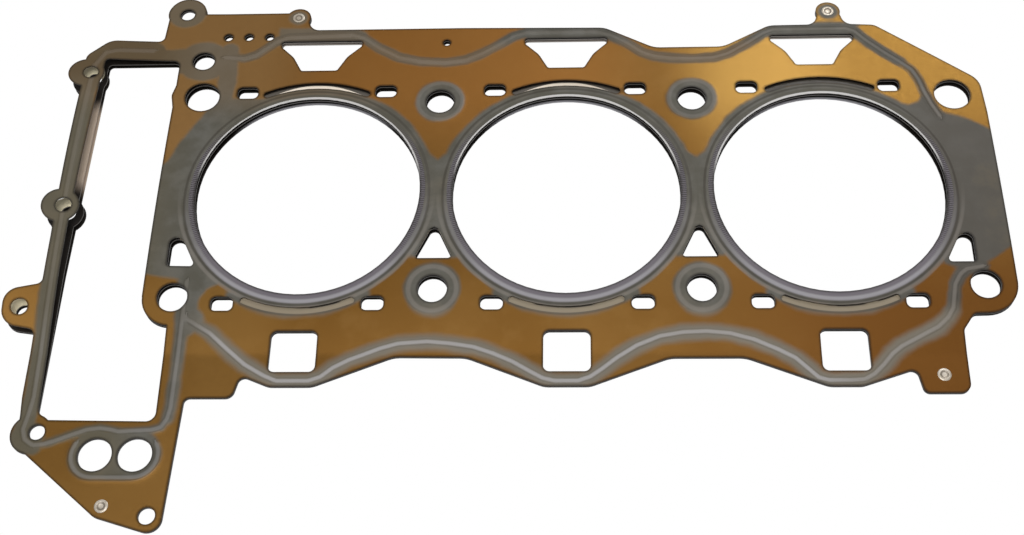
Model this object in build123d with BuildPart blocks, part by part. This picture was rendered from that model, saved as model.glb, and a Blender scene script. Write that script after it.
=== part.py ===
from build123d import *
import os

os.makedirs("parts", exist_ok=True)

# Cylinder head gasket for one bank of three cylinders, lying flat as if on a bench.
# Origin: centre of the middle bore, on the underside of the lower sheet.
# +X runs along the bank away from the chain case, +Y across it, +Z up. Millimetres.

# --- Bores ---
BORE_PITCH = 118.0
BORE_RADIUS = 51.6
BORES = (-BORE_PITCH, 0.0, BORE_PITCH)

# --- Sheet stack ---
SHEET = 0.3
CARRIER = 0.6
CARRIER_GAP = 0.15
UPPER_GAP = 0.35
BEAD_HEIGHT = 0.35
FLANGE = 0.3
CARRIER_REST = SHEET + CARRIER_GAP
UPPER_REST = CARRIER_REST + CARRIER + UPPER_GAP
UPPER_TOP = UPPER_REST + SHEET

# --- Spring of the loose sheets: a crown across the bank and a curl at the chain case end ---
CROWN = 3.8
CROWN_Y = 15.0
CROWN_REACH = 95.0
CARRIER_CROWN = 0.8 * CROWN
CURL = 9.0
CURL_POWER = 1.4
CURL_START = -165.0
CURL_LENGTH = 80.0
CURL_Y = 10.0
CURL_REACH = 118.0

# --- Grid of the surface that the sprung sheets are cut from ---
GRID_START = (-256.0, -166.0)
GRID_STEP = (23.0, 18.0)
GRID_COUNT = (21, 17)
TALL = 30.0

# --- Fastening and fluid holes: (x, y, radius) ---
HEAD_BOLT_HOLES = (
    (-172.8, 53.4, 8.1),
    (-59.2, 49.6, 6.6),
    (58.6, 49.8, 6.6),
    (178.5, 50.2, 8.2),
    (-173.5, -52.8, 6.7),
    (-58.7, -49.1, 6.5),
    (58.9, -49.3, 6.5),
    (180.5, -48.4, 6.6),
)
OIL_HOLES = ((-197.2, -125.6, 7.3), (-180.2, -125.6, 7.4), (-175.0, 75.2, 5.25))
CASE_BOLT_HOLES = (
    (-187.0, 105.0, 3.5),
    (-227.4, 66.0, 3.4),
    (-227.2, -9.3, 3.5),
    (-239.2, -59.3, 3.6),
    (-223.5, -115.5, 3.4),
    (-171.4, -152.1, 3.6),
)
VENT_HOLES = ((-164.8, 90.2, 2.1), (-154.7, 90.2, 2.1), (-144.6, 90.1, 2.1), (-57.5, 85.0, 1.8))

# --- Coolant slots beside the bores ---
SLOT_LENGTH = 10.0
SLOT_WIDTH = 6.7
SLOT_CORNER = 2.5
SLOTS_TOP = [(x, 55.8) for x in (-151.3, -85.2, -33.5, 32.3, 84.3, 150.0)]
SLOTS_BOTTOM = [(x, -55.9) for x in (-151.3, -84.8, -32.6, 33.3, 84.9, 150.8)]

# --- Arc slots round the bores, in the upper sheet ---
ARC_SLOT_RADIUS = 59.5
ARC_SLOT_WIDTH = 3.2
ARC_SLOT_HALF_ANGLE = 23.5

# --- Rivets: (x, y) ---
RIVETS = ((-131.4, 102.2), (126.4, 101.6), (157.9, -90.0), (-190.8, -148.0))
RIVET_SHANK = 1.9
RIVET_FLANGE = 2.9

# --- Outer edge, clockwise from the top left lug: (x, y, corner radius) ---
OUTER_EDGE = (
    (-195.6, 104.0, 0.0),
    (-182.0, 104.0, 0.0),
    (-180.6, 105.5, 0.0),
    (-134.0, 105.5, 0.0),
    (-127.2, 102.6, 0.0),
    (-123.8, 94.2, 5.0),
    (-50.0, 94.2, 0.0),
    (18.5, 93.2, 10.0),
    (42.0, 80.3, 12.0),
    (75.0, 80.3, 12.0),
    (97.5, 93.1, 10.0),
    (119.2, 93.3, 5.0),
    (121.6, 102.0, 0.0),
    (131.2, 102.0, 0.0),
    (133.6, 93.4, 5.0),
    (147.4, 92.6, 6.0),
    (192.0, 58.4, 10.0),
    (193.0, 40.0, 0.0),
    (194.1, -61.5, 14.0),
    (173.8, -62.0, 3.0),
    (168.6, -69.5, 4.0),
    (168.2, -98.3, 4.5),
    (149.0, -98.3, 3.0),
    (146.8, -87.2, 3.0),
    (124.0, -95.0, 8.0),
    (110.0, -95.0, 10.0),
    (76.0, -81.7, 14.0),
    (44.0, -81.7, 14.0),
    (10.0, -94.8, 10.0),
    (-9.5, -94.8, 10.0),
    (-43.0, -81.3, 14.0),
    (-74.0, -81.0, 14.0),
    (-108.5, -94.8, 10.0),
    (-127.0, -94.8, 8.0),
    (-139.6, -89.6, 3.0),
    (-142.2, -100.0, 4.0),
    (-162.6, -100.0, 2.5),
    (-165.2, -161.0, 6.0),
    (-193.4, -152.6, 8.0),
    (-231.6, -121.5, 3.0),
    (-232.4, -100.0, 0.0),
    (-231.4, -69.5, 3.0),
    (-246.6, -67.3, 7.6),
    (-246.6, -51.9, 7.6),
    (-230.9, -48.0, 3.0),
    (-230.4, -25.0, 0.0),
    (-230.4, 60.0, 0.0),
    (-231.4, 76.3, 6.0),
    (-221.6, 87.0, 8.0),
    (-196.0, 87.0, 3.0),
)
ROUND_EARS = (
    (-226.0, -116.2, 8.9),
    (-228.6, -9.5, 8.4),
    (-229.4, 65.7, 8.4),
    (-173.7, -53.2, 13.0),
    (-187.2, 105.8, 9.4),
    (-131.4, 102.2, 6.0),
    (126.4, 101.6, 5.8),
)

# --- Chain case window, clockwise from its top left corner: (x, y, corner radius) ---
CASE_WINDOW = (
    (-221.8, 74.8, 2.0),
    (-186.3, 74.8, 3.0),
    (-186.1, 60.0, 0.0),
    (-187.5, 54.0, 6.0),
    (-186.1, 47.0, 0.0),
    (-186.8, -53.0, 0.0),
    (-174.6, -55.0, 0.0),
    (-173.7, -110.7, 4.0),
    (-219.8, -110.0, 2.0),
    (-224.5, -106.6, 2.0),
    (-224.3, -40.0, 0.0),
)

# --- Return windows beside the outer edge ---
TOP_WINDOW = (
    (-20.0, 87.0, 1.5),
    (20.0, 87.0, 1.5),
    (19.4, 83.4, 1.5),
    (13.0, 77.0, 10.0),
    (8.6, 68.7, 1.5),
    (-8.6, 68.7, 1.5),
    (-13.0, 77.0, 10.0),
    (-19.4, 83.4, 1.5),
)
TOP_WINDOW_XS = (-118.3, 0.0, 117.0)
SQUARE_WINDOW = (20.3, 19.0)
SQUARE_WINDOW_CORNER = 2.8
SQUARE_WINDOW_Y = -78.5
SQUARE_WINDOW_XS = (-117.9, 0.2, 118.1)

# --- Small windows between the bores and at the ends ---
TRIANGLE = ((0.0, -15.4, 2.5), (8.8, -34.3, 1.5), (-8.8, -34.3, 1.5))
TRIANGLE_XS = (-59.0, 59.0)
TEARDROP = ((177.9, -12.7, 3.4), (177.9, -37.6, 1.5), (165.2, -37.6, 1.5))

# --- Bead round each bore, pressed up from the upper sheet ---
BORE_BEAD = (52.6, 55.0)


def sprung_height(x, y, rest, crown, curl):
    """Height of a sprung sheet: arched across the bank and curled up at the chain case end."""
    across = max(0.0, 1 - ((y - CROWN_Y) / CROWN_REACH) ** 2)
    along = max(0.0, 1 - ((y - CURL_Y) / CURL_REACH) ** 2)
    end = max(0.0, (CURL_START - x) / CURL_LENGTH) ** CURL_POWER
    return rest + crown * across + curl * end * along


def sprung_surface(rest, crown, curl):
    """Smooth surface through a grid of sprung heights."""
    xs = [GRID_START[0] + column * GRID_STEP[0] for column in range(GRID_COUNT[0])]
    ys = [GRID_START[1] + line * GRID_STEP[1] for line in range(GRID_COUNT[1])]
    rows = [[(x, y, sprung_height(x, y, rest, crown, curl)) for y in ys] for x in xs]
    return Face.make_surface_from_array_of_points(rows, tol=0.05)


def outline(corners, centre_x=0.0, side=1.0):
    """Closed edge through (x, y, corner radius) points, moved along X and mirrored when side is -1."""
    points = [(centre_x + side * x, y) for x, y, _ in corners]
    with BuildLine() as edge:
        FilletPolyline(points, radius=[radius for _, _, radius in corners], close=True)
    return edge.edges()


# --- Plan shared by the sheets ---
with BuildSketch() as gasket_plan:
    make_face(outline(OUTER_EDGE))
    make_face(outline(CASE_WINDOW), mode=Mode.SUBTRACT)
    for x, y, radius in ROUND_EARS:
        with Locations((x, y)):
            Circle(radius)
    with Locations([(x, 0) for x in BORES]):
        Circle(BORE_RADIUS, mode=Mode.SUBTRACT)
    for x, y, radius in HEAD_BOLT_HOLES + OIL_HOLES + CASE_BOLT_HOLES + VENT_HOLES:
        with Locations((x, y)):
            Circle(radius, mode=Mode.SUBTRACT)
    with Locations(SLOTS_TOP + SLOTS_BOTTOM):
        RectangleRounded(SLOT_LENGTH, SLOT_WIDTH, SLOT_CORNER, mode=Mode.SUBTRACT)
    with Locations([(x, SQUARE_WINDOW_Y) for x in SQUARE_WINDOW_XS]):
        RectangleRounded(*SQUARE_WINDOW, SQUARE_WINDOW_CORNER, mode=Mode.SUBTRACT)
    for x in TOP_WINDOW_XS:
        make_face(outline(TOP_WINDOW, x), mode=Mode.SUBTRACT)
    for x in TRIANGLE_XS:
        make_face(outline(TRIANGLE, x), mode=Mode.SUBTRACT)
    for side in (1, -1):
        make_face(outline(TEARDROP, side=side), mode=Mode.SUBTRACT)

# --- Plan of the upper sheet, with arc slots above and below each bore ---
with BuildSketch() as upper_plan:
    add(gasket_plan.sketch)
    for x in BORES:
        for middle in (90, 270):
            start = middle - ARC_SLOT_HALF_ANGLE
            arc = CenterArc((x, 0), ARC_SLOT_RADIUS, start, 2 * ARC_SLOT_HALF_ANGLE, mode=Mode.PRIVATE)
            SlotArc(arc, ARC_SLOT_WIDTH, mode=Mode.SUBTRACT)

# --- Plan of the bore beads ---
with BuildSketch() as beads:
    for x in BORES:
        with Locations((x, 0)):
            Circle(BORE_BEAD[1])
            Circle(BORE_BEAD[0], mode=Mode.SUBTRACT)

# --- Relief: the space above the upper sheet that leaves only the beads standing ---
with BuildPart() as relief:
    extrude(sprung_surface(UPPER_TOP, CROWN, CURL), amount=TALL, dir=(0, 0, 1))
    extrude(beads.sketch, amount=TALL, mode=Mode.SUBTRACT)

# --- Holes for the rivets ---
with BuildSketch() as shanks:
    with Locations(RIVETS):
        Circle(RIVET_SHANK)
with BuildSketch() as flanges:
    with Locations(RIVETS):
        Circle(RIVET_FLANGE)

# --- Lower sheet: flat on the bench, with the rivets' lower flanges let into it ---
with BuildPart() as lower_sheet:
    extrude(gasket_plan.sketch, amount=SHEET)
    extrude(flanges.sketch, amount=SHEET, mode=Mode.SUBTRACT)
lower_sheet.part.label = "lower_sheet"
export_step(lower_sheet.part, "parts/lower_sheet.step")

# --- Carrier sheet: the thick middle layer, arched under the upper sheet ---
with BuildPart() as carrier_sheet:
    extrude(sprung_surface(CARRIER_REST, CARRIER_CROWN, 0.0), amount=CARRIER, dir=(0, 0, 1))
    extrude(gasket_plan.sketch, amount=TALL, mode=Mode.INTERSECT)
    extrude(shanks.sketch, amount=TALL, mode=Mode.SUBTRACT)
carrier_sheet.part.label = "carrier_sheet"
export_step(carrier_sheet.part, "parts/carrier_sheet.step")

# --- Upper sheet: beaded, arched and curled up at the chain case end ---
with BuildPart() as upper_sheet:
    extrude(sprung_surface(UPPER_REST, CROWN, CURL), amount=SHEET + BEAD_HEIGHT, dir=(0, 0, 1))
    extrude(upper_plan.sketch, amount=TALL, mode=Mode.INTERSECT)
    extrude(shanks.sketch, amount=TALL, mode=Mode.SUBTRACT)
    add(relief.part, mode=Mode.SUBTRACT)
upper_sheet.part.label = "upper_sheet"
export_step(upper_sheet.part, "parts/upper_sheet.step")

# --- Rivets: each a shank with a flange let into the lower sheet and one on the upper sheet ---
for number, place in enumerate(RIVETS, start=1):
    with BuildSketch() as shank_plan:
        with Locations(place):
            Circle(RIVET_SHANK)
    with BuildSketch() as flange_plan:
        with Locations(place):
            Circle(RIVET_FLANGE)
    with BuildPart() as rivet:
        extrude(sprung_surface(UPPER_TOP, CROWN, CURL), amount=FLANGE, dir=(0, 0, 1))
        extrude(flange_plan.sketch, amount=TALL, mode=Mode.INTERSECT)
        extrude(shank_plan.sketch, amount=sprung_height(*place, UPPER_TOP, CROWN, CURL) + FLANGE / 2)
        extrude(flange_plan.sketch, amount=SHEET)
    rivet.part.label = f"rivet_{number}"
    export_step(rivet.part, f"parts/rivet_{number}.step")
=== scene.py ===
from functools import partial
from math import cos, pi, radians, sin

import bmesh
import bpy
import numpy as np
from bpy.props import FloatProperty, StringProperty
from mathutils import Matrix, Vector
from mathutils.kdtree import KDTree


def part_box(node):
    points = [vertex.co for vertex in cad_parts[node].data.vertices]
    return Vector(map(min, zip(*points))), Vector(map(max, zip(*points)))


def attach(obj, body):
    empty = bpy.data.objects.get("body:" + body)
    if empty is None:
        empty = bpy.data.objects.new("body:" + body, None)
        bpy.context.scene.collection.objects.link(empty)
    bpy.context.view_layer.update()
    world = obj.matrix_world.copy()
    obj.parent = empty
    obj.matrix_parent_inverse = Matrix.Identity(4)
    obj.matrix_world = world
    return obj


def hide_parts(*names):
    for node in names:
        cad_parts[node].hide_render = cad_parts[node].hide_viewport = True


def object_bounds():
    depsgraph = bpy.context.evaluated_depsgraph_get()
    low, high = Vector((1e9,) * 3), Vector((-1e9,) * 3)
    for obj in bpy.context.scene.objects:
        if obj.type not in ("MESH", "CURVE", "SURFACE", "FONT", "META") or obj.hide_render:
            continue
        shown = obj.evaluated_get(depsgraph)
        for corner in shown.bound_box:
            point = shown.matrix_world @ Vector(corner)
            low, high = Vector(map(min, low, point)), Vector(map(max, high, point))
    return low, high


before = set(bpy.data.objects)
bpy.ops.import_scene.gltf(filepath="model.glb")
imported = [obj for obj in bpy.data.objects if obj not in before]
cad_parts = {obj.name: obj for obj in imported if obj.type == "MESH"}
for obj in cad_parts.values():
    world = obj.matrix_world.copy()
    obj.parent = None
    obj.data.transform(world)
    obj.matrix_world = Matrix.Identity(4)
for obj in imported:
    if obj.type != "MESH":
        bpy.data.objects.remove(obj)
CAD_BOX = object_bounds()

bl_info = {
    "name": "Cylinder head gasket",
    "version": (1, 0, 0),
    "blender": (4, 5, 0),
    "location": "View3D > Sidebar > Gasket",
    "description": "Detailed sheets, rivets and stage for a multi-layer steel head gasket",
    "category": "Object",
}

# Lengths are in millimetres unless a comment says otherwise, and MM turns them to Blender's metres
MM = 0.001
FAR_AWAY = 1e6

# Distances in metres within which points are one, in a solid, in its flat plan and on a cutting plane
WELD, WELD_FLAT, ON_PLANE = 1e-6, 1e-5, 1e-7

# Stack and spring of the sheets, as in the solids
SHEET = 0.3
UPPER_REST = 1.4
UPPER_TOP = UPPER_REST + SHEET
CROWN, CROWN_Y, CROWN_REACH = 3.8, 15.0, 95.0
CURL, CURL_POWER, CURL_START, CURL_LENGTH = 9.0, 1.4, -165.0, 80.0
CURL_Y, CURL_REACH = 10.0, 118.0

# Rivets: places, then half a section as (radius, height), over the upper sheet and over the bench
RIVETS = ((-131.4, 102.2), (126.4, 101.6), (157.9, -90.0), (-190.8, -148.0))
RIVET_HEAD = (
    (0.0, 0.06), (1.2, 0.06), (1.7, 0.2), (2.1, 0.27), (2.6, 0.2), (2.9, 0.02), (2.9, -0.02), (1.9, -0.02),
)
RIVET_FOOT = ((1.9, 0.3), (2.88, 0.3), (2.88, 0.01), (0.0, 0.01))
RIVET_STEPS = 48


def arc(centre, radius, bearings):
    """Points round a centre at some bearings in degrees."""
    return [(centre[0] + radius * cos(radians(a)), centre[1] + radius * sin(radians(a))) for a in bearings]


# Bores and the centre lines of the beads on the upper sheet
BORE_XS = (-118.0, 0.0, 118.0)
BORES = tuple((x, 0.0) for x in BORE_XS)
BORE_PITCH = 118.0
BORE_BEAD_R, BOLT_BEAD_R = 55.0, 10.2
BOLT_RINGS = ((-59.2, 49.6), (58.6, 49.8), (-58.7, -49.1), (58.9, -49.3))
LOWER_TRACK = (
    (180, -40), (173, -41.3), (170, -43.8), (167.3, -48.5), (166.2, -54), (165.2, -59.5), (162.5, -64),
    (158, -68.2), (150, -72.5), (141.7, -77), (137.5, -80.4), (133.3, -85.4), (129.2, -89.5), (125, -92),
    (120, -92.4), (110, -92.4), (105.8, -91.2), (101.7, -87), (96.7, -82), (90, -78.3), (80, -73.7),
    (70, -70.8), (60, -69.8), (50, -70.2), (40, -72), (30, -76.2), (21.7, -81.6), (15, -87), (10, -90.6),
    (5, -92.4), (-5, -92.4), (-10, -91.2), (-15.8, -87.9), (-23.3, -83.3), (-31.7, -79.5), (-40, -76.6),
    (-50, -75), (-60, -74.1), (-72.5, -75), (-80, -77.2), (-93.3, -82.5), (-100, -86.2), (-105, -90.4),
    (-110, -92.2), (-124, -92.2), (-130, -89.5), (-138.3, -84.5), (-146.7, -77.3), (-155, -69.8),
    (-163, -65), (-167, -62.5),
)
CHAIN_TRACK = (
    (-167.8, -45), (-167.8, -105), (-168.6, -109.6), (-170.8, -113.4), (-175, -114.6), (-184.2, -115),
    (-188.6, -115.3), (-192.1, -114.4), (-196.7, -113.7), (-202.2, -114.4), (-209.5, -117.1),
    (-215.7, -119.6), (-219.9, -120.9), (-224.3, -121.4), (-228.2, -118.7), (-229.7, -114.4),
    (-228.6, -108), (-227.3, -100), (-227, -20), (-226.8, 50), (-226.6, 70), (-222.5, 79), (-217, 80.8),
    (-200, 81),
)
UPPER_TRACK = (
    (-165, 77.6), (-155.4, 76.8), (-149.8, 78.8), (-144.2, 83.8), (-140.5, 87.2), (-135, 89.6),
    (-104, 90.6), (-98, 88.5), (-90, 82), (-80, 76), (-70, 73.6), (-58, 72.6), (-48, 74), (-40, 78),
    (-31, 84), (-25, 88.5), (-19, 90.6), (15, 90.4), (21, 88.5), (29, 83.5), (36, 77.5), (42, 75),
    (50, 73.6), (60, 73.2), (70, 73.6), (77, 76), (86, 82), (94, 88), (99, 90.4), (134, 90.4),
    (137.5, 88.8), (141.7, 83.8), (150, 75.5), (156.7, 69.7), (161.7, 64.7), (164.2, 58.7), (165.8, 52),
    (168.3, 44.5), (171.3, 37.8),
)

TWIN_TRACK = arc((-180.2, -125.6), 10, range(30, -91, -15)) + arc((-197.2, -125.6), 10, range(270, 149, -15))

# Half width of a bead at its foot, how far the mesh's grid blurs a distance, and how high the track beads
# stand along the sheet: (x, share)
BEAD_FOOT = 2.2
GRID_SLACK = 1.0
TRACK_FADE = ((-215, 0.4), (-200, 1.0), (165, 1.0), (178, 0.2))

# Painted light on the middle sheet behind the holes of the chain case ears: centres and radii of fade
EAR_SPOTS = ((-229.5, 69), (-230, -6.3), (-241.6, -57.6))
EAR_SPOT_EDGE, EAR_SPOT_FULL = 6.8, 6.0

# Grey sealing coat: circles (x, y, r), bands along a line (points, half width) and filled regions (corners)
NEAR_ARC_R = 59.5
GREY_CIRCLES = (
    (-118, 0, 58.5), (0, 0, 58.5), (118, 0, 58.5),
    (-59.2, 49.6, 11.8), (58.6, 49.8, 11.8), (-58.7, -49.1, 12.5),
    (58.9, -49.3, 12.5), (-175, 75.2, 12.5), (-187.2, 105.8, 9.4), (-131.4, 102.2, 4.8), (126.4, 101.6, 4.8),
    (-197.2, -125.6, 11.2), (-180.2, -125.6, 11.2),
    (-227.4, 66, 10.5), (-227.2, -9.3, 10.5), (-227.5, -118, 7.5),
    (-163.5, -63.5, 5.5),
)
GREY_BANDS = (
    (LOWER_TRACK, 2.8),
    (CHAIN_TRACK[:3], 2.7),
    (CHAIN_TRACK[2:14], 1.9),
    (CHAIN_TRACK[13:21], 4.2),
    (CHAIN_TRACK[20:], 6.4),
    (UPPER_TRACK[:5], 2.3),
    (UPPER_TRACK[4:34], 2.9),
    (UPPER_TRACK[33:], 2.0),
    (((-163, 82), (-162, 66), (-162.5, 50), (-163, 38)), 4.6),
    (((-167, -46), (-166, -66)), 5.0),
) + tuple((arc((cx, 0), NEAR_ARC_R, range(240, 301, 6)), 2.2) for cx in BORE_XS)
GREY_REGIONS = (
    ((-190, 10), (-184, 17), (-178, 31), (-170, 45), (-163, 53), (-140, 52), (-140, -30), (-153, -46.3),
     (-158.5, -49.3), (-161.2, -54), (-162.5, -62), (-167, -45), (-178, -43.5), (-190, -41)),
    ((150, 46.5), (158, 44.5), (162.5, 46), (165, 51), (166.5, 49), (169.5, 42), (174.5, 39.3), (180, 38),
     (196, 28.5), (197, -28), (182, -38.8), (172, -41.5), (164, -38.5), (160, -30), (150, -10)),
    ((-206, 74), (-206, 85), (-195, 82.5), (-184, 83), (-170, 80), (-166, 66), (-188, 67)),
    ((96, 96), (96, 86), (134, 86), (140, 92), (138, 94.5), (100, 95)),
    ((-20, 96), (-20, 86), (18, 86), (24, 92), (18, 96)),
    ((-140, 96), (-140, 86), (-98, 86), (-96, 92), (-104, 96)),
    ((-197.2, -136.8), (-180.2, -136.8), (-180.2, -115), (-197.2, -115)),
    ((-70, 28), (-63, 20), (-59, 16.5), (-55, 20), (-48, 28), (-44, -20), (-48, -34), (-70, -34), (-74, -20)),
    ((48, 28), (55, 20), (59, 16.5), (63, 20), (70, 28), (74, -20), (70, -34), (48, -34), (44, -20)),
)

# Zones of the plan: each a product of ramps (axis, where it starts, where it is full)
CHAIN_BAR = (("y", 0, 10), ("y", 55, 45), ("x", -200, -205))
FAR_BORE = (("y", 34, 47),)
TOP_WINDOWS = (("y", 62, 64), ("y", 92, 90), ("x", -160, -150))
FAR_RIGHT = (("y", 0, 60), ("x", 40, 80))
TIP = (("x", 100, 140),)
BY_NEAR_EDGE = (("y", -55, -65), ("x", -175, -145))
CHAIN_END = (("x", -150, -165),)
LIT_CARRIER = (("y", 0, 55), ("x", 125, -60))
FAINT_FEET = (("y", -50, -65),)
BAR_CRESTS, RIGHT_CRESTS = (("x", -215, -222),), (("x", 100, 130),)
LEFT_CRESTS = (("x", -125, -145), ("y", -20, 20))
FAR_CRESTS, NEAR_CRESTS = (("y", 40, 60),), (("y", -55, -80),)
NEAR_BOLTS = (("y", 10, -10),)
BORE_SLOTS, RIGHT_SLOT = (("x", -180, -175),), (("x", 60, 75),)
FAR_SLOTS, NEAR_SLOTS = (("y", 0, 10),), (("y", 0, -10),)

# Tones of the lacquer and of the coat by zone: (property, strength, zone), each laid over the one before.
# Some are painted light and shade: light towards the far edge and by the chain case, a golden sheen at the
# far right that is dimmer at the tip, shade at the near right, and shade on the coat at its right end.
LACQUER_TONES = (
    ("lacquer_far_tint_and_light", 0.7, (("y", 0, 60), ("x", -150, -110), ("x", 50, -10))),
    ("lacquer_end_sheen", 1.0, FAR_RIGHT),
    ("lacquer_chain_lit", 0.8, (("y", 0, 30), ("x", -110, -150))),
    ("lacquer_near_shade", 0.85, (("y", 10, -60), ("x", 20, 140))),
    ("lacquer_tail", 0.35, (("x", -110, -150), ("y", -30, -60))),
)
GREY_TONES = (
    # Painted shade on the coat at the end away from the chain case
    ("grey_end_shade", 0.75, (("x", 120, 180),)),
    ("grey_chain", 0.7, (("x", -170, -200),)),
    ("grey_warm", 0.7, (("y", 35, 60), ("x", -70, -110))),
    ("grey_far", 0.6, (("y", 55, 72), ("y", 87, 80), ("x", -120, -90), ("x", 140, 120))),
    ("grey_bar", 0.8, (("y", 50, 70), ("y", 95, 88), ("x", -170, -200))),
)

# Real sizes of the patterns. The grain of rolled steel and the tooth of a lacquer are near 0.1, too fine to
# show, so the three grains are drawn as coarse as they need to show.
GRAIN, STEEL_GRAIN, RIVET_GRAIN = 2.38, 3.33, 1.11
# Specks of the baked lacquer, browner patches of the sealing coat, and slow change of the lacquer's thickness
BLOT, MOTTLE, CLOUD = 11.1, 22.2, 71.4
# Broken light in the near arc slots, and struck patches of a rivet's head
GLINT, RIVET_WEAR = 14.3, 3.85
# Pitch of the teeth that are pressed into the rims of the bores, and the radius where it is measured
TOOTH, TOOTH_R = 1.0, 54.1
TEETH = round(2 * pi * TOOTH_R / TOOTH)

# Stripes at a distance from a bead or from the centre of a bore, hole or rivet: (distance of the middle line,
# half width, half width of the full part)
FOOT_LINE = (2.3, 0.9, 0.2)
OUTER_LINE = (58.2, 1.2, 0.3)
BORE_LIGHT = (BORE_BEAD_R, 1.5, 0.3)
BORE_RIDGE = (BORE_BEAD_R, 1.4, 0.2)
SLOT_BAND = (59.0, 3.0, 2.2)
BOLT_LINE = (10.6, 1.5, 0.5)
BOLT_RIDGE = (BOLT_BEAD_R, 1.2, 0.3)
DISH_LINE = (1.45, 0.55, 0.25)
GROOVE_R, GROOVE_SHIFT, GROOVE_LINE = 55.8, 0.8, (0.9, 0.3)

# Borders at a distance from a bead, an edge or a bore's centre: (where a tone starts, where it is full)
CREST_TONE, CREST_RIDGE = (1.4, 0.3), (1.7, 0.5)
EDGE_TONE = (1.3, 0.1)
RIM_BORDER, LIP_BORDER, BORE_WALL = (54.4, 53.8), (52.5, 52.1), (53.0, 52.4)
SLOT_START, SLOT_END = (57.3, 57.7), (60.8, 60.3)
SLOT_SHADE, SLOT_GLINT = (60.2, 60.6), (58.4, 58.0)
SLOT_ENDS, SLOT_TAPER = (4.0, 28.0), 2.2
WINDOW_SIDE = (28.0, 26.0)

# Sealing coat: how far its border wanders and how soft it is, and how much softer by the near edge
COAT_WANDER, COAT_SOFT, COAT_SOFTER = 2.6, 1.3, 1.5

# Facing of a surface, as the height of its normal: (where a tone starts, where it is full)
FACING_UP, FACING_DOWN = (0.3, 0.6), (-0.3, -0.6)

# Light and camera, in metres, with the camera's sensor and lens in millimetres.
# Each lamp: name, place, target, size and power in watts.
WORLD_LEVEL = 0.2
BENCH_SIZE = 3.0
LAMPS = (
    ("key", (0.45, 0.98, 1.05), (0.1, 0.03, 0.0), 0.45, 4.8),
    ("top", (-0.1, -0.35, 1.6), (0.0, 0.0, 0.0), 1.2, 16.5),
)
CAMERA_PLACE = (0.00583, -0.33321, 0.54657)
CAMERA_AXES = ((0.99883, 0.00625, 0.04801), (0.01738, 0.87927, -0.47600), (-0.04519, 0.47627, 0.87814))
CAMERA_SENSOR, CAMERA_LENS = 36.0, 49.39
WHITE = "#FFFFFF"


def rgb(hex_colour):
    """Linear colour with alpha from an sRGB hex string."""
    values = [int(hex_colour[i:i + 2], 16) / 255 for i in (1, 3, 5)]
    return tuple(v / 12.92 if v <= 0.04045 else ((v + 0.055) / 1.055) ** 2.4 for v in values) + (1.0,)


def sprung_height(x, y):
    """Height of the upper sheet's top above the bench, in millimetres, over arrays of plan positions."""
    across = np.clip(1 - ((y - CROWN_Y) / CROWN_REACH) ** 2, 0, None)
    along = np.clip(1 - ((y - CURL_Y) / CURL_REACH) ** 2, 0, None)
    end = np.clip((CURL_START - x) / CURL_LENGTH, 0, None) ** CURL_POWER
    return UPPER_TOP + CROWN * across + CURL * end * along


def distance_to_line(x, y, points):
    """Distance from each plan position to an open line, in millimetres."""
    nearest = np.full(x.shape, FAR_AWAY)
    for (ax, ay), (bx, by) in zip(points, points[1:]):
        length = (bx - ax) ** 2 + (by - ay) ** 2
        along = np.clip(((x - ax) * (bx - ax) + (y - ay) * (by - ay)) / length, 0, 1)
        nearest = np.minimum(nearest, np.hypot(x - ax - along * (bx - ax), y - ay - along * (by - ay)))
    return nearest


def distance_to_region(x, y, corners):
    """Signed distance to a closed region, negative inside it, in millimetres."""
    inside = np.zeros(x.shape, dtype=bool)
    for (ax, ay), (bx, by) in zip(corners, corners[1:] + corners[:1]):
        if ay != by:
            inside ^= ((ay > y) != (by > y)) & (x < (bx - ax) * (y - ay) / (by - ay) + ax)
    edge = distance_to_line(x, y, corners + corners[:1])
    return np.where(inside, -edge, edge)


def grey_distance(x, y):
    """Signed distance to the edge of the grey coat, negative on the coat."""
    nearest = np.full(x.shape, FAR_AWAY)
    for cx, cy, r in GREY_CIRCLES:
        nearest = np.minimum(nearest, np.hypot(x - cx, y - cy) - r)
    for points, half in GREY_BANDS:
        nearest = np.minimum(nearest, distance_to_line(x, y, points) - half)
    for corners in GREY_REGIONS:
        nearest = np.minimum(nearest, distance_to_region(x, y, corners))
    return nearest


def bead_distance(x, y):
    """Distance to the nearest track bead, and the same with a sign for the side it lies on."""
    nearest, signed = np.full(x.shape, FAR_AWAY), np.zeros(x.shape)
    for line in (LOWER_TRACK, CHAIN_TRACK, UPPER_TRACK, TWIN_TRACK):
        for (ax, ay), (bx, by) in zip(line, line[1:]):
            span = distance_to_line(x, y, ((ax, ay), (bx, by)))
            side = np.where((bx - ax) * (y - ay) > (by - ay) * (x - ax), 1.0, -1.0)
            signed = np.where(span < nearest, side * span, signed)
            nearest = np.minimum(nearest, span)
    return nearest, signed


def ring_distance(x, y):
    """Distance to the nearest of the round beads at the bores and bolt holes, in millimetres."""
    nearest = np.full(x.shape, FAR_AWAY)
    for cx in BORE_XS:
        nearest = np.minimum(nearest, np.abs(np.hypot(x - cx, y) - BORE_BEAD_R))
    for cx, cy in BOLT_RINGS:
        nearest = np.minimum(nearest, np.abs(np.hypot(x - cx, y - cy) - BOLT_BEAD_R))
    return nearest


def bead_section(distance):
    """Height share of a bead at a distance from its centre line: 1 at the crest, 0 from its foot on."""
    return np.clip(1 - (distance / BEAD_FOOT) ** 2, 0, None) ** 2


def edge_distance(mesh, rim):
    """Distance in plan from each vertex to the nearest cut edge, in millimetres."""
    tree = KDTree(len(rim))
    for index, point in enumerate(rim):
        tree.insert(point, index)
    tree.balance()
    return np.array([tree.find((v.co.x, v.co.y, 0))[2] for v in mesh.vertices]) / MM


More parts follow.
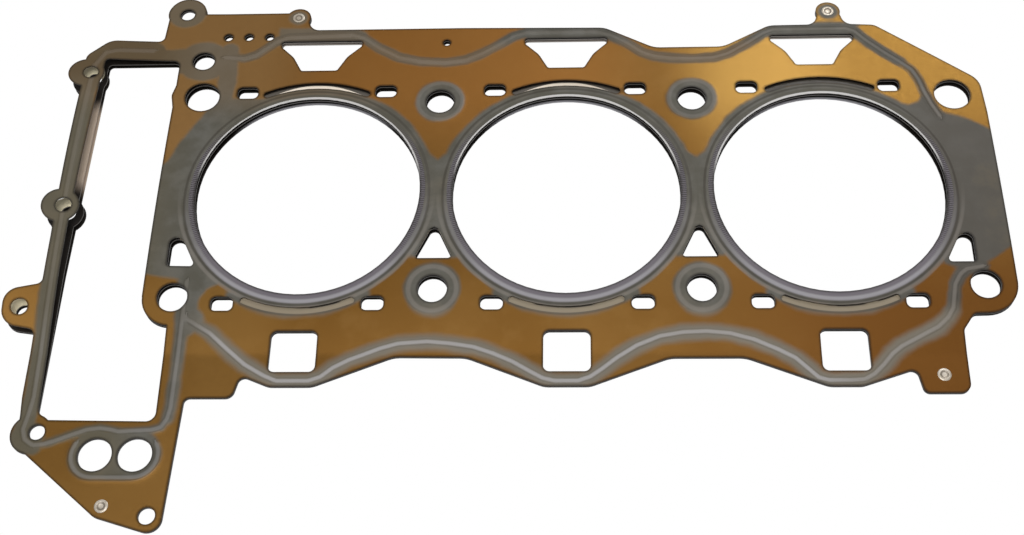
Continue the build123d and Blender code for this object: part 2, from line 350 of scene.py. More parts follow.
def plan_from_node(node, step):
    """Flat plan of a sheet's underside as a bmesh with a square grid of edges through it."""
    bm = bmesh.new()
    bm.from_mesh(node.data)
    bmesh.ops.remove_doubles(bm, verts=bm.verts, dist=WELD)
    bm.normal_update()
    bmesh.ops.delete(bm, geom=[f for f in bm.faces if f.normal.z > -0.5], context="FACES")
    bmesh.ops.scale(bm, vec=(1, 1, 0), verts=bm.verts)
    bmesh.ops.remove_doubles(bm, verts=bm.verts, dist=WELD_FLAT)
    bmesh.ops.reverse_faces(bm, faces=bm.faces)
    bmesh.ops.dissolve_limit(bm, angle_limit=radians(1), verts=bm.verts, edges=bm.edges)
    low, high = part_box(node.name)
    for axis in (0, 1):
        normal = [0.0, 0.0, 0.0]
        normal[axis] = 1.0
        place = low[axis] + step / 2
        while place < high[axis]:
            geometry = bm.verts[:] + bm.edges[:] + bm.faces[:]
            point = [place * n for n in normal]
            bmesh.ops.bisect_plane(bm, geom=geometry, dist=ON_PLANE, plane_co=point, plane_no=normal)
            place += step
    return bm


def finish_mesh(bm, name, material, angle=40.0):
    """Object from a bmesh, smooth except across sharp edges."""
    mesh = bpy.data.meshes.new(name)
    bmesh.ops.recalc_face_normals(bm, faces=bm.faces)
    bm.to_mesh(mesh)
    bm.free()
    mesh.polygons.foreach_set("use_smooth", [True] * len(mesh.polygons))
    mesh.set_sharp_from_angle(angle=radians(angle))
    mesh.materials.append(material)
    piece = bpy.data.objects.new(name, mesh)
    bpy.context.scene.collection.objects.link(piece)
    return piece


# The setting that picks how a node works, for each kind that has one
MODES = {
    "Attribute": "attribute_name",
    "MapRange": "interpolation_type",
    "Math": "operation",
    "Mix": "data_type",
    "VectorMath": "operation",
}


def fill_inputs(tree, node, *inputs, **named):
    """Set or link a node's inputs, in the order the editor shows them or by name."""
    shown = [socket for socket in node.inputs if socket.enabled]
    by_name = [(node.inputs[key.replace("_", " ")], value) for key, value in named.items()]
    for socket, value in list(zip(shown, inputs)) + by_name:
        if isinstance(value, bpy.types.Node):
            value = next(output for output in value.outputs if output.enabled)
        if isinstance(value, bpy.types.NodeSocket):
            tree.links.new(value, socket)
        else:
            socket.default_value = value
    return node


def add_node(tree, kind, mode="", *inputs, **named):
    """Add a shader node in a mode and fill its inputs."""
    node = tree.nodes.new("ShaderNode" + kind)
    if mode:
        setattr(node, MODES[kind], mode)
    return fill_inputs(tree, node, *inputs, **named)


class Surface:
    """A material with its shader, the plan place of each point, and the patterns it is drawn from."""

    def __init__(self, name):
        self.material = bpy.data.materials.new(name)
        self.material.use_nodes = True
        tree = self.material.node_tree
        self.add = partial(add_node, tree)
        self.coat = partial(fill_inputs, tree, tree.nodes["Principled BSDF"])
        self.place = self.add("TexCoord").outputs["Object"]
        split = self.add("SeparateXYZ", "", self.place)
        self.axis = {"x": split.outputs["X"], "y": split.outputs["Y"]}
        self.plan = self.add("CombineXYZ", "", self.axis["x"], self.axis["y"])
        normal = self.add("NewGeometry").outputs["True Normal"]
        self.upward = self.add("SeparateXYZ", "", normal).outputs["Z"]

    def zone(self, ramps, strength=1.0):
        """Weight of a zone of the plan: its strength where all of its ramps are full."""
        weight = strength
        for axis, start, full in ramps:
            ramp = self.add("MapRange", "SMOOTHSTEP", self.axis[axis], start * MM, full * MM)
            weight = self.add("Math", "MULTIPLY", weight, ramp)
        return weight

    def stripe(self, distance, centre, edge, full):
        """1 on a stripe that lies at a distance from something, fading to 0 at its edges."""
        off = self.add("Math", "ABSOLUTE", self.add("Math", "SUBTRACT", distance, centre))
        return self.add("MapRange", "SMOOTHSTEP", off, edge, full)

    def tones(self, colour, rows, props):
        """Colour with the tones of some zones laid over it."""
        for name, strength, ramps in rows:
            tone = rgb(getattr(props, name))
            if name == "lacquer_end_sheen":
                tone = self.add("Mix", "RGBA", self.zone(TIP), tone, rgb(props.lacquer_tip_sheen))
            colour = self.add("Mix", "RGBA", self.zone(ramps, strength), colour, tone)
        return colour

    def distance_mm(self, centre):
        """Distance in plan to a centre, in millimetres."""
        point = (centre[0] * MM, centre[1] * MM, 0.0)
        return self.add("Math", "DIVIDE", self.add("VectorMath", "DISTANCE", self.plan, point), MM)

    def nearest_mm(self, centres):
        """Distance in plan to the nearest of some centres, in millimetres."""
        nearest = FAR_AWAY
        for centre in centres:
            nearest = self.add("Math", "MINIMUM", nearest, self.distance_mm(centre))
        return nearest

    def far_bore_wall(self):
        """1 at the far part of the bores' walls."""
        wall = self.add("MapRange", "SMOOTHSTEP", self.nearest_mm(BORES), *BORE_WALL)
        return self.add("Math", "MULTIPLY", wall, self.zone(FAR_BORE))

    def from_bore_mm(self):
        """Distance along x to the nearest bore's centre, in millimetres."""
        from_first = self.add("Math", "ADD", self.axis["x"], BORE_PITCH * MM)
        return self.add("Math", "DIVIDE", self.add("Math", "PINGPONG", from_first, BORE_PITCH / 2 * MM), MM)

    def top_window(self):
        """1 at the walls of the trapezoid windows."""
        window = self.add("MapRange", "SMOOTHSTEP", self.from_bore_mm(), *WINDOW_SIDE)
        return self.add("Math", "MULTIPLY", window, self.zone(TOP_WINDOWS))

    def lacquer_clouds(self, props):
        """Bronze lacquer, darker where it lies thicker."""
        cloud = self.add("TexNoise", "", self.place, 1 / (CLOUD * MM), 2.0, 0.5)
        cloud = self.add("MapRange", "SMOOTHSTEP", cloud, 0.35, 0.65)
        return self.add("Mix", "RGBA", cloud, rgb(props.lacquer_dark), rgb(props.lacquer))


def nearest_bore(n):
    """Distance in millimetres and bearing in radians from the nearest bore's centre."""
    bore_mm, bearing = None, None
    for cx in BORE_XS:
        span = n.distance_mm((cx, 0))
        dx = n.add("Math", "SUBTRACT", n.axis["x"], cx * MM)
        angle = n.add("Math", "ARCTAN2", n.axis["y"], dx)
        if bore_mm is None:
            bore_mm, bearing = span, angle
            continue
        nearer = n.add("Math", "LESS_THAN", span, bore_mm)
        farther = n.add("Math", "SUBTRACT", 1.0, nearer)
        bearing = n.add("Math", "ADD", n.add("Math", "MULTIPLY", nearer, angle),
                        n.add("Math", "MULTIPLY", farther, bearing))
        bore_mm = n.add("Math", "MINIMUM", span, bore_mm)
    return bore_mm, bearing


def coat_material(props):
    """Spring steel with a baked bronze lacquer and a printed rubber sealing coat."""
    # Baked lacquer on rolled steel: a brown metallic sheen in soft clouds, golden where it faces the light,
    # with painted light, a painted golden sheen and painted shade laid over it by zone.
    # Printed rubber: matt grey with an uneven border, with painted highlights on the beads' crests and
    # painted shade at their feet; painted shade along cut edges and on walls, and painted highlights round
    # the bores.
    n = Surface("bronze_lacquer_and_sealing_coat")
    add = n.add
    grey_mm, bead_mm, side_mm, edge_mm = [
        add("Attribute", name).outputs["Fac"] for name in ("grey_mm", "bead_mm", "side_mm", "edge_mm")]
    # The signed distance falls to nothing at a crest also between vertices, which the plain one doesn't do.
    # The plain one keeps out the places between two beads, where the signed one changes side.
    plain_mm = add("Math", "SUBTRACT", bead_mm, GRID_SLACK)
    bead_mm = add("Math", "MAXIMUM", plain_mm, add("Math", "ABSOLUTE", side_mm))
    bolt_mm = n.nearest_mm(BOLT_RINGS)
    bore_mm, bearing = nearest_bore(n)
    # From 1 at the far side of a bore to -1 at its near side
    far_side = add("Math", "SINE", bearing)
    near_side = add("MapRange", "SMOOTHSTEP", far_side, 0.1, -0.5)
    flat_side = add("MapRange", "SMOOTHSTEP", add("Math", "ABSOLUTE", far_side), 0.75, 0.3)
    grain = add("TexNoise", "", n.place, 1 / (GRAIN * MM), 4.0, 0.6)
    blot = add("TexNoise", "", n.place, 1 / (BLOT * MM), 3.0, 0.55)

    # Lacquer, redder away from the chain case, with painted light towards the far edge and by the chain case,
    # a painted golden sheen at the far right and painted shade towards the near right
    specks = add("Math", "MULTIPLY", add("MapRange", "SMOOTHSTEP", blot, 0.45, 0.75), 0.25)
    lacquer = add("Mix", "RGBA", specks, n.lacquer_clouds(props), rgb(props.lacquer_light))
    lacquer = n.tones(lacquer, LACQUER_TONES, props)

    # Sealing coat over it, with an uneven border
    patches = add("MapRange", "SMOOTHSTEP", blot, 0.3, 0.7)
    grey = add("Mix", "RGBA", patches, rgb(props.grey_dark), rgb(props.grey))
    grey = n.tones(grey, GREY_TONES, props)
    mottle = add("TexNoise", "", n.place, 1 / (MOTTLE * MM), 4.0, 0.65)
    mottle = add("Math", "MULTIPLY", add("MapRange", "SMOOTHSTEP", mottle, 0.5, 0.75), 0.35)
    grey = add("Mix", "RGBA", mottle, grey, rgb(props.grey_mottle))
    near_coat = n.zone(BY_NEAR_EDGE)
    grey = add("Mix", "RGBA", add("Math", "MULTIPLY", near_coat, 0.8), grey, rgb(props.grey_near))
    wander = add("Math", "MULTIPLY", add("Math", "SUBTRACT", blot, 0.5), COAT_WANDER)
    border = add("Math", "ADD", grey_mm, wander)
    soft = add("Math", "ADD", COAT_SOFT, add("Math", "MULTIPLY", near_coat, COAT_SOFTER))
    on_lacquer = add("MapRange", "SMOOTHSTEP", border, -COAT_SOFT, soft)
    colour = add("Mix", "RGBA", on_lacquer, grey, lacquer)

    # Painted shade at the feet of the track beads, fainter along the chain case and the near edge
    chain = n.zone(CHAIN_END)
    fainter = add("Math", "MULTIPLY", add("Math", "MAXIMUM", chain, n.zone(FAINT_FEET)), 0.35)
    foot_tone = add("Math", "SUBTRACT", 0.35, fainter)
    foot = add("Math", "MULTIPLY", n.stripe(bead_mm, *FOOT_LINE), foot_tone)
    colour = add("Mix", "RGBA", foot, colour, rgb(props.foot_shade))

    # Painted highlight on the crests of the track beads, brighter along the near edge and fainter at the
    # ends, by the chain case and along the far edge
    ends = add("Math", "MAXIMUM", n.zone(BAR_CRESTS), n.zone(LEFT_CRESTS))
    ends = add("Math", "MAXIMUM", ends, n.zone(RIGHT_CRESTS, 0.7))
    softer = add("Math", "MAXIMUM", add("Math", "MULTIPLY", ends, 0.45), add("Math", "MULTIPLY", chain, 0.42))
    softer = add("Math", "MAXIMUM", softer, n.zone(FAR_CRESTS, 0.45))
    crest_tone = add("Math", "SUBTRACT", 0.6, softer)
    crest = add("Mix", "RGBA", n.zone(NEAR_CRESTS), rgb(props.crest), rgb(props.crest_near_highlight))
    on_crest = add("MapRange", "SMOOTHSTEP", bead_mm, *CREST_TONE)
    colour = add("Mix", "RGBA", add("Math", "MULTIPLY", on_crest, crest_tone), colour, crest)

    # Painted highlight on the bolt beads, a little stronger on the near ones
    bolt_tone = add("Math", "ADD", 0.2, n.zone(NEAR_BOLTS, 0.08))
    bolt_line = add("Math", "MULTIPLY", n.stripe(bolt_mm, *BOLT_LINE), bolt_tone)
    colour = add("Mix", "RGBA", bolt_line, colour, rgb(props.crest))

    # Painted shade in the groove, and a painted highlight as a pale outer line of the bore rings on their
    # near side
    groove_r = add("Math", "ADD", add("Math", "MULTIPLY", near_side, GROOVE_SHIFT), GROOVE_R)
    groove = add("Math", "MULTIPLY", n.stripe(bore_mm, groove_r, *GROOVE_LINE), 0.5)
    colour = add("Mix", "RGBA", groove, colour, rgb(props.groove))
    outer_line = add("Math", "MULTIPLY", n.stripe(bore_mm, *OUTER_LINE), near_side)
    colour = add("Mix", "RGBA", add("Math", "MULTIPLY", outer_line, 0.3), colour, rgb(props.crest))

    # Toothed rim, seen as teeth only at the left and right of each bore
    rim = add("MapRange", "SMOOTHSTEP", bore_mm, *RIM_BORDER)
    wave = add("Math", "SINE", add("Math", "MULTIPLY", bearing, float(TEETH)))
    tooth = add("Math", "MULTIPLY", wave, 0.5)
    toothed = add("Mix", "RGBA", add("Math", "ADD", tooth, 0.5), rgb(props.rim_dark), rgb(props.rim))
    plain = add("Mix", "RGBA", near_side, rgb(props.grey_dark), rgb(props.rim))
    toothed = add("Mix", "RGBA", flat_side, plain, toothed)
    colour = add("Mix", "RGBA", add("Math", "MULTIPLY", rim, 0.8), colour, toothed)

    # Painted highlight on the bore beads, brightest on their near side
    nearest_part = add("MapRange", "SMOOTHSTEP", far_side, -0.4, -0.85)
    nearest_part = add("Math", "MULTIPLY", nearest_part, 0.5)
    lit = add("Math", "ADD", add("Math", "MULTIPLY", near_side, 0.25), nearest_part)
    lit = add("Math", "MULTIPLY", n.stripe(bore_mm, *BORE_LIGHT), lit)
    colour = add("Mix", "RGBA", lit, colour, rgb(props.rim_near_highlight))

    # Painted shade along the cut edges, fainter along the near arc slots
    near_slot = add("Math", "MULTIPLY", near_side, n.stripe(bore_mm, *SLOT_BAND))
    edge_tone = add("Math", "SUBTRACT", 0.7, add("Math", "MULTIPLY", near_slot, 0.5))
    by_edge = add("Math", "MULTIPLY", add("MapRange", "SMOOTHSTEP", edge_mm, *EDGE_TONE), edge_tone)
    colour = add("Mix", "RGBA", by_edge, colour, rgb(props.cut))

    # Painted highlight on the lip at the far part of each bore, a little wider in its middle
    wider = add("Math", "MULTIPLY", add("MapRange", "SMOOTHSTEP", far_side, 0.75, 0.98), 0.5)
    lip = add("MapRange", "SMOOTHSTEP", add("Math", "SUBTRACT", bore_mm, wider), *LIP_BORDER)
    lip = add("Math", "MULTIPLY", lip, add("MapRange", "SMOOTHSTEP", far_side, 0.1, 0.4))
    colour = add("Mix", "RGBA", add("Math", "MULTIPLY", lip, 0.9), colour, rgb(props.lip))
    # The upper sheet's walls take the dark edge colour as painted shade
    flat = add("MapRange", "SMOOTHSTEP", add("Math", "ABSOLUTE", n.upward), *FACING_UP)
    n.coat(Base_Color=add("Mix", "RGBA", flat, rgb(props.cut), colour))

    # Relief in millimetres: crests, rings, rim teeth, grain and the coat's own thickness
    parts = (
        (add("MapRange", "SMOOTHSTEP", bead_mm, *CREST_RIDGE), 0.35),
        (n.stripe(bore_mm, *BORE_RIDGE), 0.12),
        (n.stripe(bolt_mm, *BOLT_RIDGE), 0.08),
        (add("Math", "MULTIPLY", add("Math", "MULTIPLY", tooth, rim), flat_side), 0.12),
        (grain, 0.02),
        (add("MapRange", "SMOOTHSTEP", border, -0.6, 0.3), -0.04),
    )
    relief = 0.0
    for shape, height in parts:
        relief = add("Math", "ADD", relief, add("Math", "MULTIPLY", shape, height))
    rough = add("Math", "ADD", 0.42, add("Math", "MULTIPLY", on_lacquer, -0.05))
    n.coat(
        Normal=add("Bump", Strength=1.0, Distance=MM, Height=relief),
        Roughness=add("Math", "ADD", rough, add("Math", "MULTIPLY", grain, 0.12)),
        Metallic=add("Math", "MULTIPLY", on_lacquer, 0.7),
        Specular_IOR_Level=0.25,
    )
    return n.material


def carrier_material(props):
    """Middle sheet, with painted light in the arc slots, along the chain case bar and behind the ears' holes,
    and painted shade between the sheets.
    """
    # Cold-rolled steel with sheared edges: a pale satin face with a fine grain; its edges are painted dark as
    # shade, with painted light on them in the windows and at the far part of the bores
    n = Surface("cold_rolled_steel")
    add = n.add
    bore_mm = n.nearest_mm(BORES)
    grain = add("TexNoise", "", n.place, 1 / (STEEL_GRAIN * MM), 4.0, 0.6)

    # Light in the arc slots: cut off by the upper sheet on the far side, broken on the near side
    in_slot = add("Math", "MULTIPLY", add("MapRange", "SMOOTHSTEP", bore_mm, *SLOT_START),
                  add("MapRange", "SMOOTHSTEP", bore_mm, *SLOT_END))
    in_slot = add("Math", "MULTIPLY", in_slot, n.zone(BORE_SLOTS))
    taper = add("Math", "MULTIPLY", add("MapRange", "SMOOTHSTEP", n.from_bore_mm(), *SLOT_ENDS), SLOT_TAPER)
    covered = add("MapRange", "SMOOTHSTEP", add("Math", "ADD", bore_mm, taper), *SLOT_SHADE)
    covered = add("Math", "MAXIMUM", covered, n.zone(RIGHT_SLOT))
    covered = add("Math", "MULTIPLY", covered, n.zone(FAR_SLOTS))
    glint = add("TexNoise", "", n.place, 1 / (GLINT * MM), 1.0, 0.5)
    glint = add("Math", "MULTIPLY", add("MapRange", "SMOOTHSTEP", glint, 0.42, 0.55),
                add("MapRange", "SMOOTHSTEP", bore_mm, *SLOT_GLINT))
    covered = add("Math", "MAXIMUM", covered, add("Math", "MULTIPLY", glint, n.zone(NEAR_SLOTS)))
    open_share = add("Math", "SUBTRACT", 1.0, add("Math", "MULTIPLY", covered, 0.9))
    in_slot = add("Math", "MULTIPLY", in_slot, open_share)

    bar = n.zone(CHAIN_BAR)
    face = add("Mix", "RGBA", n.zone(LIT_CARRIER), rgb(props.carrier), rgb(props.carrier_lit))
    face = add("Mix", "RGBA", in_slot, rgb(props.hidden), face)
    face = add("Mix", "RGBA", bar, face, rgb(props.carrier_bar_lit))
    side = add("Mix", "RGBA", bar, rgb(props.edge_shade), rgb(props.carrier_bar_lit))
    side = add("Mix", "RGBA", n.top_window(), side, rgb(props.bare_lit))
    side = add("Mix", "RGBA", n.far_bore_wall(), side, rgb(props.bore_wall_lit))
    for spot in EAR_SPOTS:
        bright = add("MapRange", "SMOOTHSTEP", n.distance_mm(spot), EAR_SPOT_EDGE, EAR_SPOT_FULL)
        face = add("Mix", "RGBA", bright, face, rgb(props.carrier_ear_lit))
    up = add("MapRange", "SMOOTHSTEP", n.upward, *FACING_UP)
    n.coat(
        Base_Color=add("Mix", "RGBA", up, side, face),
        Roughness=add("Math", "ADD", 0.35, add("Math", "MULTIPLY", grain, 0.2)),
        Normal=add("Bump", Strength=0.2, Distance=0.02 * MM, Height=grain),
    )
    return n.material


def lower_material(props):
    """Lower sheet, dark between the sheets."""
    # Spring steel with the same baked lacquer: a brown sheen below, and painted shade between the sheets,
    # with painted light on the walls in the windows and at the far part of the bores and along the chain case
    # bar
    n = Surface("bronze_lacquer")
    add = n.add
    hidden = add("Mix", "RGBA", n.top_window(), rgb(props.hidden), rgb(props.bare_lit))
    hidden = add("Mix", "RGBA", n.zone(CHAIN_BAR), hidden, rgb(props.carrier_bar_lit))
    hidden = add("Mix", "RGBA", n.far_bore_wall(), hidden, rgb(props.bore_lit))
    down = add("MapRange", "SMOOTHSTEP", n.upward, *FACING_DOWN)
    grain = add("TexNoise", "", n.place, 1 / (GRAIN * MM), 4.0, 0.6)
    n.coat(
        Base_Color=add("Mix", "RGBA", down, hidden, n.lacquer_clouds(props)),
        Metallic=add("Math", "MULTIPLY", down, 0.6),
        Roughness=add("Math", "ADD", 0.4, add("Math", "MULTIPLY", grain, 0.12)),
        Normal=add("Bump", Strength=0.2, Distance=0.02 * MM, Height=grain),
    )
    return n.material


def rivet_material(props):
    """Pale rivet with a shaded ring at its dish."""
    # Cold-headed mild steel: a pale satin head, dull where it was struck and shaded round the dish
    n = Surface("cold_headed_steel")
    add = n.add
    grain = add("TexNoise", "", n.place, 1 / (RIVET_GRAIN * MM), 3.0, 0.5)
    wear = add("TexNoise", "", n.place, 1 / (RIVET_WEAR * MM), 2.0, 0.5)
    wear = add("MapRange", "SMOOTHSTEP", wear, 0.35, 0.7)
    head = add("Mix", "RGBA", wear, rgb(props.steel), rgb(props.steel_dark))
    ring = add("Math", "MULTIPLY", n.stripe(n.nearest_mm(RIVETS), *DISH_LINE), 0.75)
    n.coat(
        Base_Color=add("Mix", "RGBA", ring, head, rgb(props.steel_ring)),
        Metallic=0.35,
        Roughness=add("Math", "ADD", 0.3, add("Math", "MULTIPLY", grain, 0.15)),
        Normal=add("Bump", Strength=0.2, Distance=0.03 * MM, Height=grain),
    )
    return n.material


def bench_material(props):
    """Bench, seen and mirrored as plain white, and lighting the gasket as a grey."""
    # Matt white board: an even white ground with no gloss of its own
    material = bpy.data.materials.new("matt_white_board")
    material.use_nodes = True
    tree = material.node_tree
    board = fill_inputs(tree, tree.nodes["Principled BSDF"], Base_Color=rgb(props.paper), Roughness=0.8)
    glow = add_node(tree, "Emission", "", rgb(WHITE), 1.0)
    ray = add_node(tree, "LightPath")
    seen = ray.outputs["Is Camera Ray"]
    for kind in ("Is Glossy Ray", "Is Transmission Ray"):
        seen = add_node(tree, "Math", "MAXIMUM", seen, ray.outputs[kind])
    fill_inputs(tree, tree.nodes["Material Output"], add_node(tree, "MixShader", "", seen, board, glow))
    return material


def studio_world():
    """Dim even light from all round, seen as white."""
    world = bpy.data.worlds.new("studio")
    world.use_nodes = True
    tree = world.node_tree
    seen = add_node(tree, "LightPath").outputs["Is Camera Ray"]
    level = add_node(tree, "MapRange", "LINEAR", seen, 0.0, 1.0, WORLD_LEVEL)
    fill_inputs(tree, tree.nodes["Background"], rgb(WHITE), level)
    return world


def add_lamp(scene, name, place, target, size, power):
    """Round lamp that points at a target."""
    data = bpy.data.lights.new(name, "AREA")
    data.shape, data.size, data.energy = "DISK", size, power
    lamp = bpy.data.objects.new(name, data)
    aim = Vector(target) - Vector(place)
    lamp.matrix_world = Matrix.Translation(place) @ aim.to_track_quat("-Z", "Y").to_matrix().to_4x4()
    scene.collection.objects.link(lamp)


class GasketSettings(bpy.types.PropertyGroup):
    """Sizes and colours of the gasket"""

    grid: FloatProperty(
        name="Grid", description="Spacing of the upper sheet's mesh", default=0.0013, unit="LENGTH")
    bead: FloatProperty(name="Bead", description="Height of the track beads", default=0.00028, unit="LENGTH")
    ring_bead: FloatProperty(
        name="Ring bead", description="Height of the beads round bores and bolts",
        default=0.00016, unit="LENGTH")
    lacquer: StringProperty(name="Lacquer", description="Bronze lacquer", default="#86602C")
    lacquer_dark: StringProperty(
        name="Dark lacquer", description="Lacquer in its darker patches", default="#7C5622")
    lacquer_light: StringProperty(
        name="Light lacquer", description="Lacquer in its lighter specks", default="#94703C")
    grey: StringProperty(name="Grey", description="Sealing coat", default="#696760")
    grey_dark: StringProperty(
        name="Dark grey", description="Sealing coat in its darker patches", default="#59564C")
    # Redder tint with painted light towards the far edge
    lacquer_far_tint_and_light: StringProperty(
        name="Far lacquer", description="Lacquer towards the far edge", default="#B0783A")
    # Painted golden sheen at the far right
    lacquer_end_sheen: StringProperty(name="End lacquer", description="Lacquer at the far right", default="#AE8642")
    # Painted sheen, dimmer in the far right corner
    lacquer_tip_sheen: StringProperty(
        name="Tip lacquer", description="Lacquer in the far right corner", default="#8E692C")
    # Painted light by the chain case
    lacquer_chain_lit: StringProperty(
        name="Chain lacquer", description="Lacquer by the chain case", default="#AE8450")
    # Painted shade at the near right
    lacquer_near_shade: StringProperty(
        name="Near lacquer", description="Lacquer at the near right", default="#74491A")
    grey_chain: StringProperty(
        name="Chain grey", description="Sealing coat along the chain case", default="#645C48")
    grey_mottle: StringProperty(
        name="Mottled grey", description="Browner patches of the sealing coat", default="#6C6048")
    grey_near: StringProperty(
        name="Near grey", description="Sealing coat along the near edge", default="#827A6C")
    lacquer_tail: StringProperty(
        name="Tail lacquer", description="Lacquer in the near left corner", default="#98723A")
    grey_far: StringProperty(
        name="Far grey", description="Sealing coat along the far edge", default="#80684A")
    grey_bar: StringProperty(
        name="Bar grey", description="Sealing coat on the chain case's far bar", default="#5E4D34")
    grey_warm: StringProperty(name="Warm grey", description="Sealing coat at the far left", default="#74644E")
    # Painted shade on the sealing coat at the end away from the chain case
    grey_end_shade: StringProperty(
        name="End grey", description="Sealing coat at the end away from the chain case", default="#56514A")
    # Painted highlight on the bore beads' near side
    rim_near_highlight: StringProperty(name="Near rim", description="Bore rims on their near side", default="#ACA9B0")
    # Painted highlight on the crests of the track and bolt beads, and on the bore rings' near outer line
    crest: StringProperty(name="Crest", description="Rubbed crest of the track beads", default="#A09890")
    # Painted highlight, brighter on the track beads along the near edge
    crest_near_highlight: StringProperty(
        name="Near crest", description="Track beads along the near edge", default="#BEBCBE")
    # Painted shade in the crease at the foot of the track beads
    foot_shade: StringProperty(
        name="Shoulder", description="Sealing coat at the foot of the track beads", default="#4E4A42")
    groove: StringProperty(name="Groove", description="Shadowed line round the bore beads", default="#3A342C")
    rim: StringProperty(name="Rim", description="Toothed rim of the bores", default="#77717A")
    rim_dark: StringProperty(name="Dark rim", description="Gaps between the rim's teeth", default="#343032")
    # Painted highlight on the far lip of the bores
    lip: StringProperty(
        name="Lip", description="Polished lip of the bores where it faces the light", default="#DAD8D6")
    # Painted shade on the upper sheet's cut edges and walls
    cut: StringProperty(name="Cut", description="Cut edge of the upper sheet", default="#1E1914")
    steel: StringProperty(name="Steel", description="Rivet steel", default="#E4DACB")
    steel_ring: StringProperty(
        name="Steel ring", description="Shaded ring round the dish of the rivets", default="#6E6254")
    steel_dark: StringProperty(
        name="Dark steel", description="Rivet steel where it is rubbed", default="#C4B8A6")
    carrier: StringProperty(name="Carrier", description="Face of the middle sheet", default="#968973")
    carrier_lit: StringProperty(
        name="Lit carrier", description="Middle sheet where it faces the light", default="#FFF2E0")
    # Painted light on the middle sheet along the chain case bar
    carrier_bar_lit: StringProperty(
        name="Carrier bar", description="Middle sheet along the chain case", default="#D2BEAA")
    # Painted light on the middle sheet behind the ears' holes
    carrier_ear_lit: StringProperty(
        name="Carrier ear", description="Middle sheet behind the ears' holes", default="#FFF4D0")
    # Painted shade on the middle sheet's cut edges
    edge_shade: StringProperty(name="Edge", description="Cut edge of the middle sheet", default="#3C342C")
    bare_lit: StringProperty(
        name="Lit edge", description="Cut edges in the trapezoid windows", default="#B8B0A8")
    # Painted light on the middle sheet's edge at the far part of the bores
    bore_wall_lit: StringProperty(
        name="Bore wall", description="Middle sheet's edge at the far part of the bores", default="#5E5A58")
    bore_lit: StringProperty(
        name="Lit bore wall", description="Lower sheet's edge at the far part of the bores",
        default="#B4B2B8")
    hidden: StringProperty(name="Hidden", description="Faces shaded between the sheets", default="#1C1712")
    paper: StringProperty(name="Bench", description="Bench as the gasket is lit by it", default="#8C8C8C")


class GASKET_OT_upper_sheet(bpy.types.Operator):
    """Sprung upper sheet with its beads and painted sealing coat"""
    bl_idname = "gasket.upper_sheet"
    bl_label = "Upper sheet"

    def execute(self, context):
        props = context.scene.gasket
        bm = plan_from_node(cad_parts["upper_sheet"], props.grid)
        rim = [tuple(v.co) for v in bm.verts if v.is_boundary]
        under = bmesh.ops.extrude_face_region(bm, geom=bm.faces[:], use_keep_orig=True)
        under_verts = [g for g in under["geom"] if isinstance(g, bmesh.types.BMVert)]
        bmesh.ops.translate(bm, vec=(0, 0, -SHEET * MM), verts=under_verts)
        piece = finish_mesh(bm, "beaded_upper_sheet", coat_material(props))
        mesh = piece.data
        place = np.empty(len(mesh.vertices) * 3, dtype=np.float32)
        mesh.vertices.foreach_get("co", place)
        place = place.reshape(-1, 3)
        x, y = place[:, 0] / MM, place[:, 1] / MM
        beads, sided = bead_distance(x, y)
        marks = {
            "grey_mm": grey_distance(x, y),
            "bead_mm": beads,
            "side_mm": sided,
            "edge_mm": edge_distance(mesh, rim),
        }
        track_crest = bead_section(beads) * props.bead * np.interp(x, *zip(*TRACK_FADE))
        ring_crest = bead_section(ring_distance(x, y)) * props.ring_bead
        place[:, 2] += sprung_height(x, y) * MM + np.maximum(track_crest, ring_crest)
        mesh.vertices.foreach_set("co", place.ravel())
        for name, values in marks.items():
            mesh.attributes.new(name, "FLOAT", "POINT").data.foreach_set("value", values.astype(np.float32))
        mesh.update()
        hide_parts("upper_sheet")
        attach(piece, "root")
        return {"FINISHED"}


class GASKET_OT_inner_sheets(bpy.types.Operator):
    """Materials of the carrier and the lower sheet"""
    bl_idname = "gasket.inner_sheets"
    bl_label = "Inner sheets"

    def execute(self, context):
        props = context.scene.gasket
        looks = {"carrier_sheet": carrier_material(props), "lower_sheet": lower_material(props)}
        for name, material in looks.items():
            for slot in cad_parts[name].material_slots:
                slot.material = material
        return {"FINISHED"}


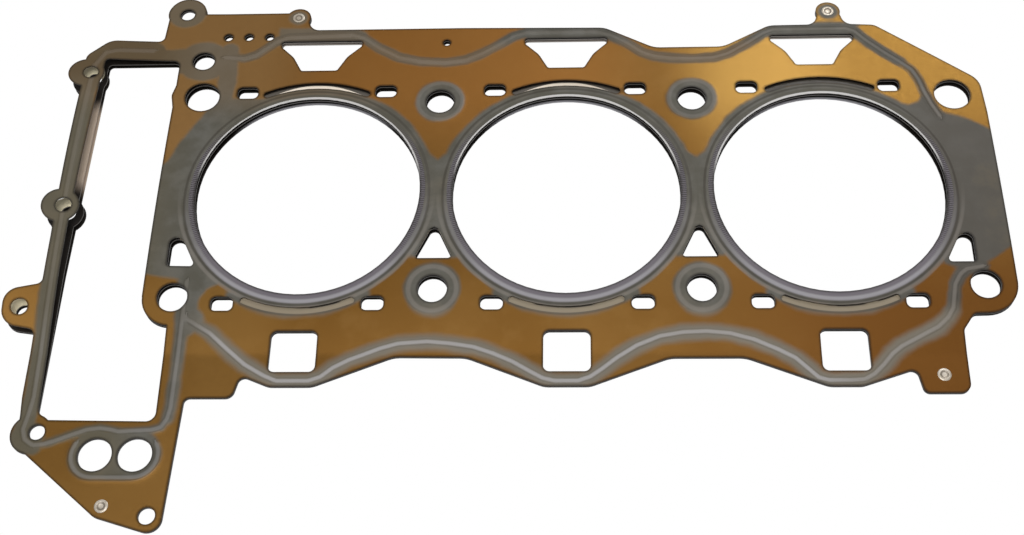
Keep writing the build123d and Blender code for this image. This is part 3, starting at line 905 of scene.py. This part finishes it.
class GASKET_OT_rivets(bpy.types.Operator):
    """Rolled rivets, each with a dished head in a ring"""
    bl_idname = "gasket.rivets"
    bl_label = "Rivets"

    def execute(self, context):
        material = rivet_material(context.scene.gasket)
        for number, (x, y) in enumerate(RIVETS, start=1):
            top = float(sprung_height(np.array([x]), np.array([y]))[0])
            section = tuple((r, top + rise) for r, rise in RIVET_HEAD) + RIVET_FOOT
            bm = bmesh.new()
            points = [bm.verts.new((r * MM, 0, z * MM)) for r, z in section]
            edges = [bm.edges.new(pair) for pair in zip(points, points[1:])]
            bmesh.ops.spin(bm, geom=points + edges, cent=(0, 0, 0), axis=(0, 0, 1), angle=2 * pi,
                           steps=RIVET_STEPS, use_merge=True)
            bmesh.ops.remove_doubles(bm, verts=bm.verts, dist=ON_PLANE)
            bmesh.ops.translate(bm, vec=(x * MM, y * MM, 0), verts=bm.verts)
            piece = finish_mesh(bm, f"rolled_rivet_{number}", material, 35.0)
            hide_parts(f"rivet_{number}")
            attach(piece, "root")
        return {"FINISHED"}


class GASKET_OT_stage(bpy.types.Operator):
    """White bench, soft light and camera"""
    bl_idname = "gasket.stage"
    bl_label = "Stage"

    def execute(self, context):
        scene = context.scene
        bm = bmesh.new()
        bmesh.ops.create_grid(bm, x_segments=1, y_segments=1, size=BENCH_SIZE)
        bmesh.ops.translate(bm, vec=(0, 0, CAD_BOX[0][2]), verts=bm.verts)
        mesh = bpy.data.meshes.new("bench")
        bm.to_mesh(mesh)
        bm.free()
        mesh.materials.append(bench_material(scene.gasket))
        bench = bpy.data.objects.new("bench", mesh)
        scene.collection.objects.link(bench)

        scene.world = studio_world()
        for lamp in LAMPS:
            add_lamp(scene, *lamp)
        data = bpy.data.cameras.new("front_camera")
        data.sensor_width = CAMERA_SENSOR
        data.lens = CAMERA_LENS
        camera = bpy.data.objects.new("front_camera", data)
        camera.matrix_world = Matrix.Translation(CAMERA_PLACE) @ Matrix(CAMERA_AXES).to_4x4()
        scene.collection.objects.link(camera)
        scene.camera = camera
        scene.view_settings.view_transform = "Standard"
        return {"FINISHED"}


class GASKET_PT_panel(bpy.types.Panel):
    """List of the gasket's operators"""
    bl_label = "Gasket"
    bl_idname = "GASKET_PT_panel"
    bl_space_type = "VIEW_3D"
    bl_region_type = "UI"
    bl_category = "Gasket"

    def draw(self, context):
        for step in STEPS:
            self.layout.operator(step.bl_idname)


STEPS = (GASKET_OT_upper_sheet, GASKET_OT_inner_sheets, GASKET_OT_rivets, GASKET_OT_stage)
CLASSES = (GasketSettings,) + STEPS + (GASKET_PT_panel,)


def register():
    for cls in CLASSES:
        bpy.utils.register_class(cls)
    bpy.types.Scene.gasket = bpy.props.PointerProperty(type=GasketSettings)


def unregister():
    del bpy.types.Scene.gasket
    for cls in reversed(CLASSES):
        bpy.utils.unregister_class(cls)


def main():
    register()
    bpy.ops.gasket.upper_sheet()
    bpy.ops.gasket.inner_sheets()
    bpy.ops.gasket.rivets()
    bpy.ops.gasket.stage()


if __name__ == "__main__":
    main()
